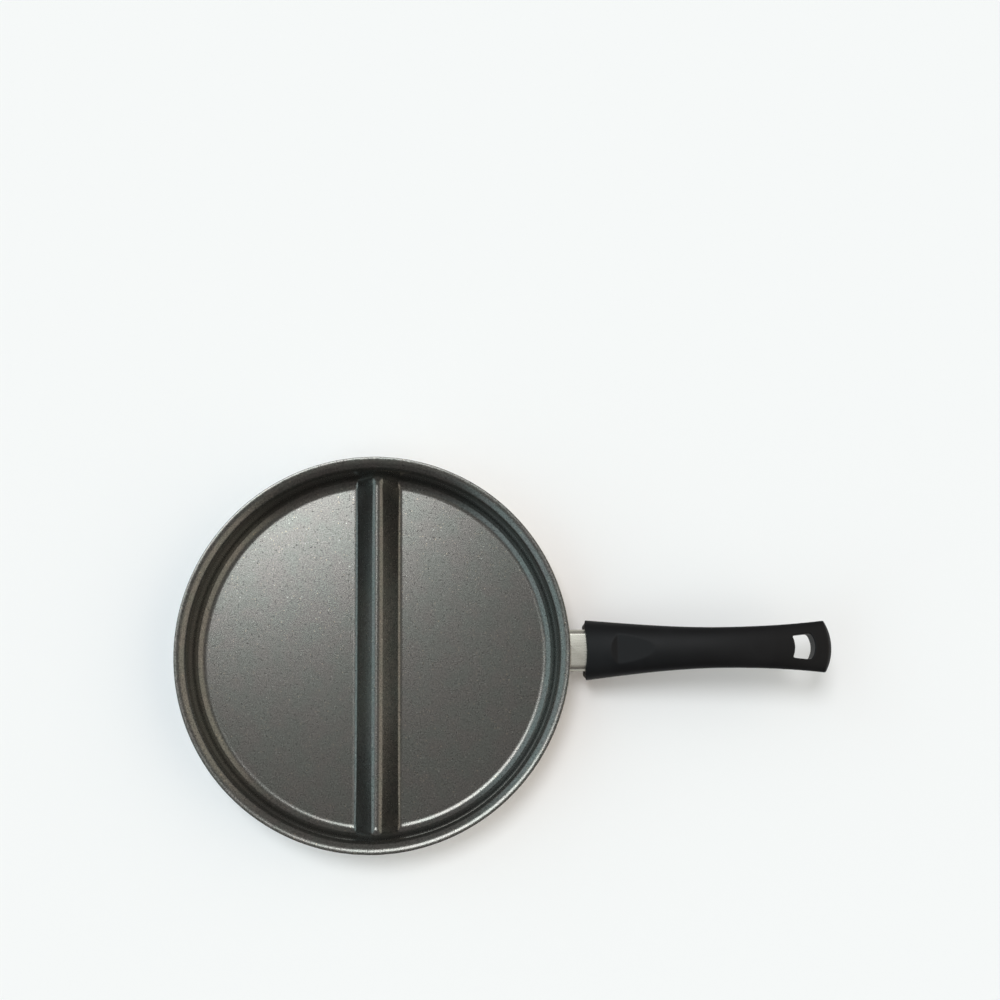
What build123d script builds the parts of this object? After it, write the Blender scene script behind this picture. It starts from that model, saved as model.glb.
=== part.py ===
from build123d import *
import os
from math import cos, radians, sin, tan

# Divided frying pan, 26 cm. One aluminium sheet is pressed into a shallow round dish with a
# flared lip and a hollow ridge across its base. A steel sleeve and a moulded handle are held
# to the wall by one screw, which goes into a boss welded on the outside of the wall.
#
# Origin: the dish's axis at table level. +X runs out along the handle, +Z is up and the
# ridge runs along Y. Everything is in millimetres and degrees.

# ---------------------------------------------------------------- pressed dish
rim_radius = 130.0  # outer edge of the lip
pan_height = 32.0  # table to the top of the lip
sheet = 2.2  # thickness of the aluminium sheet
lip_overhang = 6.2  # reach of the lip past the outside of the wall
lip_bevel = 2.2  # flat inside the bend where the wall turns out into the lip
rim_bevel = 0.4  # deburred outer edge of the lip
wall_draft = 2.0  # lean of the wall outwards
base_round = 6.3  # inside round between base and wall
base_bevel = 5.0  # flat outside that bend, which leaves the sheet its thickness at the middle

# ---------------------------------------------------------------- divider ridge
ridge_height = 12.2  # crest above the inside of the base
ridge_offset = 1.6  # the ridge stands a little towards the handle
ridge_flank = 45.0  # slope of its two flanks
ridge_crest_round = 5.7
ridge_foot_round = 4.0  # inside round at its feet, and where it runs into the wall

# ---------------------------------------------------------------- neck
neck_height = 20.2  # screw axis above the table
sleeve_width = 27.5
sleeve_height = 15.2
sleeve_corner = 4.0
sleeve_wall = 1.0
sleeve_grip = 6.5  # length of sleeve that sits inside the handle's mouth
stud_diameter = 10.0
stud_length = 13.0
stud_floor = 2.5  # solid end of the boss at the wall

# ---------------------------------------------------------------- screw and washers
screw_diameter = 5.0
screw_length = 25.0
head_diameter = 8.5
head_height = 3.3
head_bevel = 0.5
screw_tip_bevel = 0.6
slot_width = 1.2
slot_depth = 1.6
flat_washer_diameter = 9.0
flat_washer_thickness = 1.0
lock_washer_diameter = 8.4
lock_washer_thickness = 1.6
lock_washer_split = 1.0
counterbore_diameter = 9.8
screw_web = 5.5  # handle wall between the sleeve's end and the screw's seat

# ---------------------------------------------------------------- handle
neck_gap = 14.6  # wall to the front tips of the handle
grip_length = 162.0
grip_front_width = 40.4
grip_waist_width = 26.7
grip_tail_width = 35.4
grip_waist_at = 89.0  # front tips to the narrowest place
grip_arch_at = 112.0  # front tips to the highest place
grip_front_low = 9.9  # underside above the table
grip_arch_low = 35.8
grip_tail_low = 34.4
grip_front_height = 23.9  # underside to crown
grip_arch_height = 14.4
grip_tail_height = 12.6
parting_front = 0.52  # height of the mould's parting line, as a share of the section
parting_tail = 0.70
underside_width = 0.78  # as a share of the full width
underside_bevel = 0.2  # as a share of the height under the parting line
mouth_side_depth = 3.3  # the dished front face, seen from the side
mouth_top_depth = 2.6  # the same, seen from above
mouth_bevel = 1.4
mouth_bevel_reach = 3.0
crown_shape = ((0.91, 0.44), (0.63, 0.80))  # shares of half width and rise
section_count = 6  # sections that the handle is lofted through
tail_arc = 33.6  # radius of the handle's end, seen from above
tail_crown_round = 8.5
tail_low_round = 3.3
tail_reach = 12.0  # length of handle that the rounded end takes up
tail_lift = 0.7  # margin of the rounding disc over the handle's crown and underside

# ---------------------------------------------------------------- thumb recess
recess_at = 17.5  # from the front tips
recess_length = 29.0
recess_ramp = 4.8
recess_depth = 1.6

# ---------------------------------------------------------------- hanging hole
hole_from_end = 27.1  # handle end to the inner corners
hole_length = 12.2
hole_inner_width = 14.4
hole_outer_width = 16.9
hole_inner_bulge = 1.6
hole_outer_bulge = 2.7
hole_corner = 1.5
hole_bevel = 0.5

# ---------------------------------------------------------------- clearances
seat_gap = 0.1  # between curved faces that rest on each other
sleeve_gap = 0.15  # between the sleeve and the handle's mouth, and inside it
thread_gap = 0.05
bore_gap = 0.3
overcut = 5.0  # how far a cutting shape runs past what it cuts

# ---------------------------------------------------------------- worked out from the above
wall_top_radius = rim_radius - lip_overhang
wall_lean = tan(radians(wall_draft))
wall_shift = sheet / cos(radians(wall_draft))  # the sheet's thickness, measured level
under_lip = pan_height - sheet


def wall_radius(height):
    """Outside radius of the wall at a height above the table, before its rounds."""
    return wall_top_radius - (under_lip - height) * wall_lean


neck_start = wall_radius(neck_height)
grip_front = neck_start + neck_gap
grip_end = grip_front + grip_length
stud_end = neck_start + stud_length
sleeve_end = grip_front + sleeve_grip
screw_seat = sleeve_end + screw_web
mouth_height = grip_front_low + grip_front_height / 2


# ---------------------------------------------------------------- helpers
def corner(face, place):
    """The corner of a face that lies at a place."""
    return face.vertices().sort_by_distance((*place, 0))[0]


def turned(face):
    """Turn a half section, drawn as radius and height, about the dish's axis."""
    return revolve(Plane.XZ * face, Axis.Z)


def along_x(face, start, end):
    """Extrude a shape drawn in Y and Z from one X to another."""
    station = Plane(origin=(start, 0, 0), x_dir=(0, 1, 0), z_dir=(1, 0, 0))
    return extrude(station * face, end - start)


def neck_bar(width, height, corner, start, end):
    """A rounded bar on the screw axis, from one X to another."""
    face = Pos(0, neck_height) * RectangleRounded(width, height, corner)
    return along_x(face, start, end)


def neck_rod(diameter, start, end):
    """A round bar on the screw axis, from one X to another."""
    face = Pos(0, neck_height) * Circle(diameter / 2)
    return along_x(face, start, end)


# ================================================================ pan body
def dish_outside(grow=0.0):
    """The dish's outside, filled to above the lip. It is grown by a clearance for cuts."""
    top = pan_height + overcut
    foot = (wall_radius(0) + grow, -grow)
    neck = (wall_top_radius + grow, under_lip - grow)
    edge = rim_radius + grow
    face = make_face(Polyline((0, -grow), foot, neck, (edge, neck[1]), (edge, top), (0, top), close=True))
    face = chamfer(corner(face, foot), base_bevel)
    return turned(chamfer(corner(face, neck), lip_bevel / 2))


def dish_inside():
    """The space in and above the dish, which leaves the lip's flat top as it is cut away."""
    top = pan_height + 2 * overcut
    foot = (wall_radius(0) - wall_shift + sheet * wall_lean, sheet)
    mouth = (wall_radius(pan_height) - wall_shift, pan_height)
    edge = rim_radius + overcut
    face = make_face(Polyline((0, sheet), foot, mouth, (edge, pan_height), (edge, top), (0, top), close=True))
    face = fillet(corner(face, foot), base_round)
    return turned(chamfer(corner(face, mouth), lip_bevel))


def ridge_face(crest, crest_round, bottom):
    """Cross-section of the pressed ridge: a round crest and two flanks, with sharp feet."""
    slope = radians(ridge_flank)
    crest_x = crest_round * sin(slope)
    crest_z = crest - crest_round * (1 - cos(slope))
    foot_x = crest_x + (crest_z - bottom) / tan(slope)
    outline = [
        ThreePointArc((-crest_x, crest_z), (0, crest), (crest_x, crest_z)),
        Polyline((crest_x, crest_z), (foot_x, bottom), (-foot_x, bottom), (-crest_x, crest_z)),
    ]
    return make_face(outline)


def ridge_bar(face):
    """Run a ridge cross-section right across the dish."""
    return Pos(ridge_offset, 0, 0) * extrude(Plane.XZ * face, rim_radius, both=True)


def pan_body():
    """The whole pressing: dish, ridge with one round along its feet and ends, and its hollow."""
    shell = dish_outside() - dish_inside()
    raised = ridge_bar(ridge_face(sheet + ridge_height, ridge_crest_round, sheet / 2)) & dish_outside()
    dish = shell + raised
    dish = fillet(new_edges(shell, raised, combined=dish), ridge_foot_round)
    hollow = ridge_bar(ridge_face(ridge_height, ridge_crest_round - sheet, -overcut))
    body = dish - hollow
    rim = body.edges().filter_by(GeomType.CIRCLE).filter_by(lambda e: abs(e.radius - rim_radius) < 0.01)
    return chamfer(rim, rim_bevel)


# ================================================================ neck
def weld_stud():
    """Boss with a blind thread, shaped at its foot to the wall that it is welded to."""
    boss = neck_rod(stud_diameter, neck_start - overcut, stud_end) - dish_outside(seat_gap)
    thread = neck_rod(screw_diameter + 2 * thread_gap, neck_start + stud_floor, stud_end + overcut)
    return boss - thread


def neck_sleeve():
    """Pressed sleeve, cut to the wall at one end and square at the other."""
    bore = sleeve_corner - sleeve_wall
    outer = neck_bar(sleeve_width, sleeve_height, sleeve_corner, neck_start - overcut, sleeve_end)
    inner = neck_bar(
        sleeve_width - 2 * sleeve_wall,
        sleeve_height - 2 * sleeve_wall,
        bore,
        neck_start - 2 * overcut,
        sleeve_end + overcut,
    )
    return outer - inner - dish_outside(seat_gap)


# ================================================================ screw and washers
def washer(diameter, start, thickness):
    """A flat ring on the screw, from one X over a thickness."""
    ring = neck_rod(diameter, start, start + thickness)
    return ring - neck_rod(screw_diameter + 2 * bore_gap, start - overcut, start + thickness + overcut)


def flat_washer():
    return washer(flat_washer_diameter, screw_seat, flat_washer_thickness)


def lock_washer():
    """Spring washer, split at the top and pressed flat."""
    start = screw_seat + flat_washer_thickness
    split = Box(4 * lock_washer_thickness, lock_washer_split, lock_washer_diameter)
    split = Pos(start, 0, neck_height + lock_washer_diameter / 2) * split
    return washer(lock_washer_diameter, start, lock_washer_thickness) - split


def handle_screw():
    """Slotted cheese-head screw whose tip ends in the boss."""
    under_head = screw_seat + flat_washer_thickness + lock_washer_thickness
    head_end = under_head + head_height
    shank = neck_rod(screw_diameter, under_head - screw_length, under_head)
    shank = chamfer(shank.edges().filter_by(GeomType.CIRCLE).sort_by(Axis.X)[0], screw_tip_bevel)
    head = neck_rod(head_diameter, under_head, head_end)
    head = chamfer(head.edges().filter_by(GeomType.CIRCLE).sort_by(Axis.X)[-1], head_bevel)
    slot = Pos(head_end, 0, neck_height) * Box(2 * slot_depth, slot_width, 2 * head_diameter)
    return shank + head - slot


# ================================================================ handle
def rail(at, start, end):
    """Smooth curve between two stations, each given as (place, value, slope)."""
    (x0, v0, s0), (x1, v1, s1) = start, end
    span = x1 - x0
    u = (at - x0) / span
    return (
        v0 * (2 * u**3 - 3 * u**2 + 1)
        + s0 * span * (u**3 - 2 * u**2 + u)
        + v1 * (3 * u**2 - 2 * u**3)
        + s1 * span * (u**3 - u**2)
    )


def two_rails(at, front, middle, tail):
    """A rail from the front to a middle station, and on to the tail."""
    if at < middle[0]:
        return rail(at, front, middle)
    return rail(at, middle, tail)


def grip_half_width(at):
    return two_rails(
        at,
        (0, grip_front_width / 2, -0.115),
        (grip_waist_at, grip_waist_width / 2, 0),
        (grip_length, grip_tail_width / 2, 0.13),
    )


def grip_low(at):
    return two_rails(
        at, (0, grip_front_low, 0.42), (grip_arch_at, grip_arch_low, 0), (grip_length, grip_tail_low, -0.03)
    )


def grip_crown(at):
    return two_rails(
        at,
        (0, grip_front_low + grip_front_height, 0.29),
        (grip_arch_at, grip_arch_low + grip_arch_height, 0),
        (grip_length, grip_tail_low + grip_tail_height, -0.12),
    )


def grip_section(at, inset=0.0):
    """Section of the handle at a distance from its front: crowned top, drafted underside."""
    half = grip_half_width(at) - inset
    low = grip_low(at) + inset
    top = grip_crown(at) - inset
    share = parting_front + (parting_tail - parting_front) * at / grip_length
    parting = low + share * (top - low)
    foot = half * underside_width
    bevel = underside_bevel * (parting - low)
    side = [(foot - bevel, low), (foot + bevel * (half - foot) / (parting - low), low + bevel), (half, parting)]
    side += [(half * across, parting + (top - parting) * up) for across, up in crown_shape]
    mirrored = [(-y, z) for y, z in side]
    crown = ThreePointArc(side[-1], (0, top), mirrored[-1])
    face = make_face([crown, Polyline(*side), Polyline(*mirrored), Line(side[0], mirrored[0])])
    return Plane(origin=(grip_front + at, 0, 0), x_dir=(0, 1, 0), z_dir=(1, 0, 0)) * face


def tail_tool():
    """A round-edged disc that shapes the handle's end, and a block that keeps the rest of it."""
    top = grip_crown(grip_length - tail_reach) + tail_lift
    low = grip_tail_low - tail_lift
    disc = Pos(grip_end - tail_arc, 0, (top + low) / 2) * Cylinder(tail_arc, top - low)
    disc = fillet(disc.edges().filter_by(GeomType.CIRCLE).sort_by(Axis.Z)[-1], tail_crown_round)
    disc = fillet(disc.edges().filter_by(GeomType.CIRCLE).sort_by(Axis.Z)[0], tail_low_round)
    block = Box(grip_length, 2 * tail_arc, 2 * pan_height)
    return disc + Pos(grip_end - tail_reach - grip_length / 2, 0, pan_height) * block


def grip_blank():
    """The handle's outer form, lofted through its sections and rounded off at the tail."""
    step = (grip_length - mouth_bevel) / (section_count - 1)
    bar = loft([grip_section(mouth_bevel + step * n) for n in range(section_count)])
    bar += loft([grip_section(0, mouth_bevel_reach), grip_section(mouth_bevel)], ruled=True)
    return bar & tail_tool()


def dish_radius(half, depth):
    """Radius of an arc over a half width, with its depth at the middle."""
    return (half**2 + depth**2) / (2 * depth)


def mouth_dishes():
    """Two shallow drums that hollow the front face, one seen from the side, one from above."""
    side = dish_radius(grip_front_height / 2, mouth_side_depth)
    over = dish_radius(grip_front_width / 2, mouth_top_depth)
    drum = Rot(90, 0, 0) * Cylinder(side, 2 * grip_front_width)
    drum = Pos(grip_front + mouth_side_depth - side, 0, mouth_height) * drum
    post = Pos(grip_front + mouth_top_depth - over, 0, mouth_height) * Cylinder(over, 2 * grip_front_height)
    return drum + post


def sleeve_pocket():
    """Slot in the handle's mouth that takes the end of the sleeve, around the spigot."""
    return neck_bar(
        sleeve_width + 2 * sleeve_gap,
        sleeve_height + 2 * sleeve_gap,
        sleeve_corner + sleeve_gap,
        grip_front - overcut,
        sleeve_end,
    )


def spigot():
    """Block that fills the sleeve, stops the handle turning and bears on the boss."""
    inset = 2 * (sleeve_wall + sleeve_gap)
    corner = sleeve_corner - sleeve_wall - sleeve_gap
    return neck_bar(sleeve_width - inset, sleeve_height - inset, corner, stud_end, sleeve_end)


def thumb_recess():
    """A steep ramp and a long flat that meet the crown, cut straight across."""
    floor_at = recess_at + recess_ramp
    end_at = recess_at + recess_length
    start = (grip_front + recess_at, grip_crown(recess_at))
    floor = (grip_front + floor_at, grip_crown(floor_at) - recess_depth)
    end = (grip_front + end_at, grip_crown(end_at))
    over = end[1] + overcut
    face = make_face(Polyline(start, floor, end, (end[0], over), (start[0], over), close=True))
    return extrude(Plane.XZ * face, grip_front_width, both=True)


def hanging_hole():
    """Curved four-sided hole, whose outer side follows the handle's end."""
    inner_x = grip_end - hole_from_end
    outer_x = inner_x + hole_length
    inner = hole_inner_width / 2
    outer = hole_outer_width / 2
    outline = [
        ThreePointArc((inner_x, -inner), (inner_x + hole_inner_bulge, 0), (inner_x, inner)),
        Line((inner_x, inner), (outer_x, outer)),
        ThreePointArc((outer_x, outer), (outer_x + hole_outer_bulge, 0), (outer_x, -outer)),
        Line((outer_x, -outer), (inner_x, -inner)),
    ]
    face = make_face(outline)
    face = fillet(face.vertices(), hole_corner)
    return extrude(face, 2 * pan_height)


def handle_grip():
    """The moulded handle, with its mouth, screw hole, thumb recess and hanging hole."""
    body = grip_blank() - mouth_dishes() - sleeve_pocket() + spigot()
    body -= neck_rod(screw_diameter + 2 * bore_gap, stud_end - overcut, screw_seat + overcut)
    body -= neck_rod(counterbore_diameter, screw_seat, grip_front + grip_waist_at)
    body -= thumb_recess()
    hole = hanging_hole()
    pierced = body - hole
    rims = new_edges(body, hole, combined=pierced).filter_by(lambda e: abs((e % 0.5).Z) < 0.7)
    return chamfer(rims, hole_bevel)


# ================================================================ write the pieces
pieces = {
    "pan_body": pan_body,
    "weld_stud": weld_stud,
    "neck_sleeve": neck_sleeve,
    "handle_grip": handle_grip,
    "flat_washer": flat_washer,
    "lock_washer": lock_washer,
    "handle_screw": handle_screw,
}

os.makedirs("parts", exist_ok=True)
for name, make in pieces.items():
    solid = make()
    export_step(solid, f"parts/{name}.step")
    print(name, "solids", len(solid.solids()), "valid", solid.is_valid, "volume", round(solid.volume))
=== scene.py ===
# %% [markdown]
# # A divided frying pan, dressed for its photograph
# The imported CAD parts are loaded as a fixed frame, in metres: +X runs out along the handle,
# +Z is up, the ridge runs along Y and the pan stands on Z = 0. The pressed sheet, the sleeve
# and the handle get finer pieces here, and the screw, its washers and the boss stay as they
# are and get better finishes. Dimensions are written in millimetres and turned into metres.

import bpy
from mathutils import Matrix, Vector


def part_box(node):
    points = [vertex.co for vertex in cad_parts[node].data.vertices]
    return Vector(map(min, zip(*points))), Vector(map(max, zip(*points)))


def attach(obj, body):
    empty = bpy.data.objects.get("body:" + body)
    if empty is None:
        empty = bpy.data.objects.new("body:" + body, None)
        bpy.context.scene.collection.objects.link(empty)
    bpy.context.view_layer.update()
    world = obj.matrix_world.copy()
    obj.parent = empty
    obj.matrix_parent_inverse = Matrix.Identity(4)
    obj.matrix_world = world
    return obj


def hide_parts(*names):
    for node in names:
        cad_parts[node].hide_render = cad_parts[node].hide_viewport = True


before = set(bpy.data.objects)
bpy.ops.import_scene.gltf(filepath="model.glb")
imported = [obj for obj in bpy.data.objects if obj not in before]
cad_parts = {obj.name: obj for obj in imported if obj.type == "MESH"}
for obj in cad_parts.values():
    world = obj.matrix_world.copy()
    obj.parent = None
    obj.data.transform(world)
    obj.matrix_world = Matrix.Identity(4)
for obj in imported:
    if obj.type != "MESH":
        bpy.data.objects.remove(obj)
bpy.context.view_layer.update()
MM = 0.001

# %% [markdown]
# ## The tools of the lesson
# The pieces are modelled with the same operators as by hand. An operator acts on all that is
# selected, so a piece is always opened with nothing selected, and its parts are then picked by
# their place. These short helpers do that, and print what they made.

# %% Tools of the lesson
from math import cos, pi, radians, sin, sqrt, tan

import bmesh
import bpy
from mathutils import Matrix, Vector


def nothing_selected():
    """Leave edit mode and deselect every object, since an operator acts on all that is selected."""
    if bpy.context.object and bpy.context.object.mode != "OBJECT":
        bpy.ops.object.mode_set(mode="OBJECT")
    bpy.ops.object.select_all(action="DESELECT")


def edit(piece, kind="VERT"):
    """Open one piece in edit mode with nothing in it selected."""
    nothing_selected()
    piece.select_set(True)
    bpy.context.view_layer.objects.active = piece
    bpy.ops.object.mode_set(mode="EDIT")
    bpy.ops.mesh.select_mode(type=kind)
    bpy.ops.mesh.select_all(action="DESELECT")


def pick(piece, kind, test):
    """Select the vertices, edges or faces whose place passes a test. Places are in millimetres."""
    bpy.ops.mesh.select_mode(type=kind)
    bpy.ops.mesh.select_all(action="DESELECT")
    mesh = bmesh.from_edit_mesh(piece.data)
    if kind == "VERT":
        found = [v for v in mesh.verts if test(v.co / MM)]
    elif kind == "EDGE":
        found = [e for e in mesh.edges if all(test(v.co / MM) for v in e.verts)]
    else:
        found = [f for f in mesh.faces if test(f.calc_center_median() / MM, f.normal)]
    for part in found:
        part.select_set(True)
    mesh.select_flush_mode()
    bmesh.update_edit_mesh(piece.data)
    return len(found)


def move(x=0.0, y=0.0, z=0.0):
    """Move what is selected, in millimetres."""
    bpy.ops.transform.translate(value=(x * MM, y * MM, z * MM))


def stretch(x=1.0, y=1.0, z=1.0, about=(0, 0, 0)):
    """Scale what is selected about a place, which is in millimetres."""
    bpy.ops.transform.resize(value=(x, y, z), center_override=[c * MM for c in about])


def started(name):
    """Name the primitive that was just added, and put its place into its mesh."""
    piece = bpy.context.object
    piece.name = name
    piece.data.name = name
    bpy.ops.object.transform_apply(location=True, rotation=True, scale=True)
    return piece


def add_modifier(piece, kind, **settings):
    """Add a modifier, set it and apply it at once."""
    nothing_selected()
    piece.select_set(True)
    bpy.context.view_layer.objects.active = piece
    modifier = piece.modifiers.new(kind.title(), kind)
    for key, value in settings.items():
        setattr(modifier, key, value)
    bpy.ops.object.modifier_apply(modifier=modifier.name)


def faces_outward(piece):
    """Merge corners that lie on each other, and turn every face outward."""
    edit(piece, "FACE")
    bpy.ops.mesh.select_all(action="SELECT")
    bpy.ops.mesh.remove_doubles(threshold=0.001 * MM)
    bpy.ops.mesh.normals_make_consistent(inside=False)
    bpy.ops.object.mode_set(mode="OBJECT")


def cut(piece, tool, operation="DIFFERENCE"):
    """Cut a piece with a tool shape, throw the tool away and close the cut's seams."""
    add_modifier(piece, "BOOLEAN", object=tool, operation=operation, solver="EXACT")
    bpy.data.objects.remove(tool)
    faces_outward(piece)


def shaded(piece, degrees):
    """Smooth shading, with edges over an angle kept crisp."""
    nothing_selected()
    piece.select_set(True)
    bpy.context.view_layer.objects.active = piece
    bpy.ops.object.shade_smooth_by_angle(angle=radians(degrees))


def measured(piece):
    """Print a piece's size in millimetres, and its count of faces and of open edges."""
    points = [v.co / MM for v in piece.data.vertices]
    low = [round(min(p[i] for p in points), 2) for i in range(3)]
    high = [round(max(p[i] for p in points), 2) for i in range(3)]
    mesh = bmesh.new()
    mesh.from_mesh(piece.data)
    open_edges = sum(len(e.link_faces) != 2 for e in mesh.edges)
    print(piece.name, "from", low, "to", high)
    print("   with", len(mesh.faces), "faces and", open_edges, "open edges")
    mesh.free()


# %% [markdown]
# ## The dimensions
# Most of these are the named dimensions of the CAD source, in millimetres: the sheet is
# 2.2 mm aluminium, the wall leans out by 2 degrees, and the ridge has 45 degree flanks. Two
# rounds are softer than in the source, because the photograph's bands of light ask for it:
# the inside corner between base and wall, and the roll of the lip.

# %% Dimensions of the pressing
rim_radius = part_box("pan_body")[1].x / MM
pan_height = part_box("pan_body")[1].z / MM
sheet = 2.2
lip_overhang = 6.2
wall_angle = radians(2.0)
wall_lean = tan(wall_angle)
wall_shift = sheet / cos(wall_angle)
wall_top_radius = rim_radius - lip_overhang
base_round = 8.5  # outside, between base and wall
corner_round = 7.6  # inside, between base and wall
lip_round = 7.5
rim_round = 0.4
ridge_height = 12.2
ridge_offset = 1.6
ridge_slope = radians(45.0)
crest_round = 5.7
foot_round = 4.0


def wall_radius(height):
    """Outside radius of the wall at a height above the table."""
    return wall_top_radius - (pan_height - sheet - height) * wall_lean


inside_foot = wall_radius(0) - wall_shift + sheet * wall_lean
inside_mouth = wall_radius(pan_height) - wall_shift
print("inside radius at the base", round(inside_foot, 2), "and at the mouth", round(inside_mouth, 2))

# %% [markdown]
# ## The pressed sheet
# The real pan is one disc of aluminium. A press draws the wall up, turns the lip out and
# pushes the ridge up from below, so the underside has the same ridge as a hollow. It could be
# turned on a lathe profile, but then the ridge would have to be let in afterwards. It is
# made here as the press makes it: one flat disc is scored across, the score lines are lifted
# into the ridge, the edge is drawn up and out, ring by ring round both bends, and the whole
# surface then gets its thickness. So the ridge runs into the wall in one sweep, as in a press.

# %% Heights across the ridge
round_steps = 6  # straight steps in each round of the ridge


def ridge_stations():
    """(distance from the ridge's middle, height over the base) at each score line of one side."""
    top = crest_round * sin(ridge_slope)
    shoulder = ridge_height - crest_round * (1 - cos(ridge_slope))
    foot = top + shoulder / tan(ridge_slope) + foot_round * tan(ridge_slope / 2)
    stations = []
    for step in range(round_steps + 1):
        turn = ridge_slope * step / round_steps
        stations.append((crest_round * sin(turn), ridge_height - crest_round * (1 - cos(turn))))
    for step in range(round_steps + 1):
        turn = ridge_slope * (1 - step / round_steps)
        stations.append((foot - foot_round * sin(turn), foot_round * (1 - cos(turn))))
    return stations


half_ridge = ridge_stations()
ridge_lines = sorted({(side * x, z) for x, z in half_ridge for side in (-1, 1)})
ridge_half_width = half_ridge[-1][0]
print("ridge", round(2 * ridge_half_width, 2), "mm wide, from", len(ridge_lines), "score lines")

# %% A flat disc, scored across where the ridge will be
disc_corners = 288
beside_ridge = 1.5  # the disc's own corners this close to the ridge are dissolved
bend_turn = radians(90) - wall_angle
bend_reach = tan(bend_turn / 2)  # how far a bend reaches along its flat, for a radius of 1
base_flat = inside_foot - corner_round * bend_reach
nothing_selected()
bpy.ops.mesh.primitive_circle_add(
    vertices=disc_corners, radius=base_flat * MM, fill_type="NGON", location=(0, 0, sheet * MM)
)
pan = started("pan_sheet")
edit(pan)
for x, _ in ridge_lines:
    bpy.ops.mesh.select_all(action="SELECT")
    bpy.ops.mesh.bisect(plane_co=((ridge_offset + x) * MM, 0, 0), plane_no=(1, 0, 0))


def between_lines(p):
    """True for the disc's own corners that lie between two score lines or close beside the last."""
    x = p.x - ridge_offset
    off_the_lines = min(abs(x - line) for line, _ in ridge_lines) > 0.001
    return abs(x) < ridge_half_width + beside_ridge and off_the_lines


print(pick(pan, "VERT", between_lines), "corners between the score lines are dissolved")
bpy.ops.mesh.dissolve_verts()

# %% Lift the score lines into the ridge
for x, lift in ridge_lines:
    pick(pan, "VERT", lambda p: abs(p.x - ridge_offset - x) < 0.002)
    move(z=lift)

# %% [markdown]
# ### Drawing the edge up and out
# A real blank is drawn through a ring with a rounded edge, so every bend has one radius all
# round. Here the open edge is extruded again and again, each time on to a new radius. Round
# the first bend the edge rises by equal amounts, which carries the ridge's shape up into the
# wall. From the lip on it is level. Each corner of the bend remembers how far it has turned,
# because the outside gets its own bend later.

# %% Draw the edge up round the bend, up the wall, round the lip's bend and out
def drawn_to(radius, height=None, rise=0.0, mark=0.0):
    """Draw the open edge on to a radius, up by a rise or to one level height, and mark it."""
    bpy.ops.mesh.extrude_region_move()
    if height is None:
        move(z=rise)
    else:
        stretch(z=0, about=(0, 0, height))
    mesh = bmesh.from_edit_mesh(pan.data)
    for v in mesh.verts:
        if not v.select:
            continue
        if abs(v.co.x / MM - ridge_offset) < ridge_half_width + 0.01:
            v.co.y = sqrt((radius * MM) ** 2 - v.co.x**2) * (1 if v.co.y > 0 else -1)
        else:
            out = radius * MM / sqrt(v.co.x**2 + v.co.y**2)
            v.co.x *= out
            v.co.y *= out
    marks = mesh.verts.layers.float["bend"]
    for v in mesh.verts:
        if v.select:
            v[marks] = mark
    bmesh.update_edit_mesh(pan.data)


pick(pan, "FACE", lambda p, normal: True)
bpy.ops.mesh.region_to_loop()
mesh = bmesh.from_edit_mesh(pan.data)
marks = mesh.verts.layers.float.new("bend")
for v in mesh.verts:
    v[marks] = float(v.select)
bmesh.update_edit_mesh(pan.data)
bend_steps, risen = 10, 0.0
for step in range(1, bend_steps + 1):
    angle = bend_turn * step / bend_steps
    height = corner_round * (1 - cos(angle))
    drawn_to(base_flat + corner_round * sin(angle), rise=height - risen, mark=1 + angle)
    risen = height
lip_steps, lip_lean = 9, radians(10)
lip_start = inside_mouth + lip_round * bend_reach
for step in range(lip_steps + 1):
    angle = bend_turn + (lip_lean - bend_turn) * step / lip_steps
    out = lip_start - lip_round * sin(angle)
    drawn_to(out, height=pan_height - lip_round * (1 - cos(angle)))
lip_top = out + lip_round * sin(lip_lean)
just_inside, just_outside = lip_top - 0.65, lip_top + 0.55
for out in (just_inside, lip_top, just_outside, rim_radius):
    drawn_to(out, height=pan_height - lip_round + sqrt(lip_round**2 - (out - lip_top) ** 2))
print("the lip is highest at radius", round(lip_top, 2))
bpy.ops.mesh.select_all(action="SELECT")
bpy.ops.mesh.normals_make_consistent(inside=True)
bpy.ops.object.mode_set(mode="OBJECT")
up = max(pan.data.polygons, key=lambda f: f.area).normal.z
print("the base faces", "up" if up > 0 else "down")
if up < 0:
    pan.data.flip_normals()
measured(pan)

# %% A narrow border round each flat keeps its shading flat
clear_of_ridge, flat_border = 20, 0.5
edit(pan, "FACE")
pick(pan, "FACE", lambda p, normal: abs(p.z - sheet) < 0.01 and abs(p.x) > clear_of_ridge)
bpy.ops.mesh.inset(thickness=flat_border * MM, depth=0)
bpy.ops.object.mode_set(mode="OBJECT")
measured(pan)

# %% [markdown]
# ### The thickness of the sheet
# The pan could be drawn a second time for its outside. Solidify does it in one go, and gives
# the inside, the outside and the cut edge a finish slot each. It makes every bend of the
# outside as much wider as the sheet is thick. The real outside bends a little tighter, so its
# corners are moved after that, and the cut edge is blunted with a small bevel.

# %% Give the surface the thickness of the sheet, with a finish slot for each side of it
COAT, ENAMEL, BARE = range(3)
for finish_slot in (COAT, ENAMEL, BARE):
    pan.data.materials.append(None)
add_modifier(
    pan,
    "SOLIDIFY",
    thickness=sheet * MM,
    offset=-1,
    use_even_offset=True,
    use_quality_normals=True,
    material_offset=ENAMEL,
    material_offset_rim=BARE,
)
measured(pan)

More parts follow.
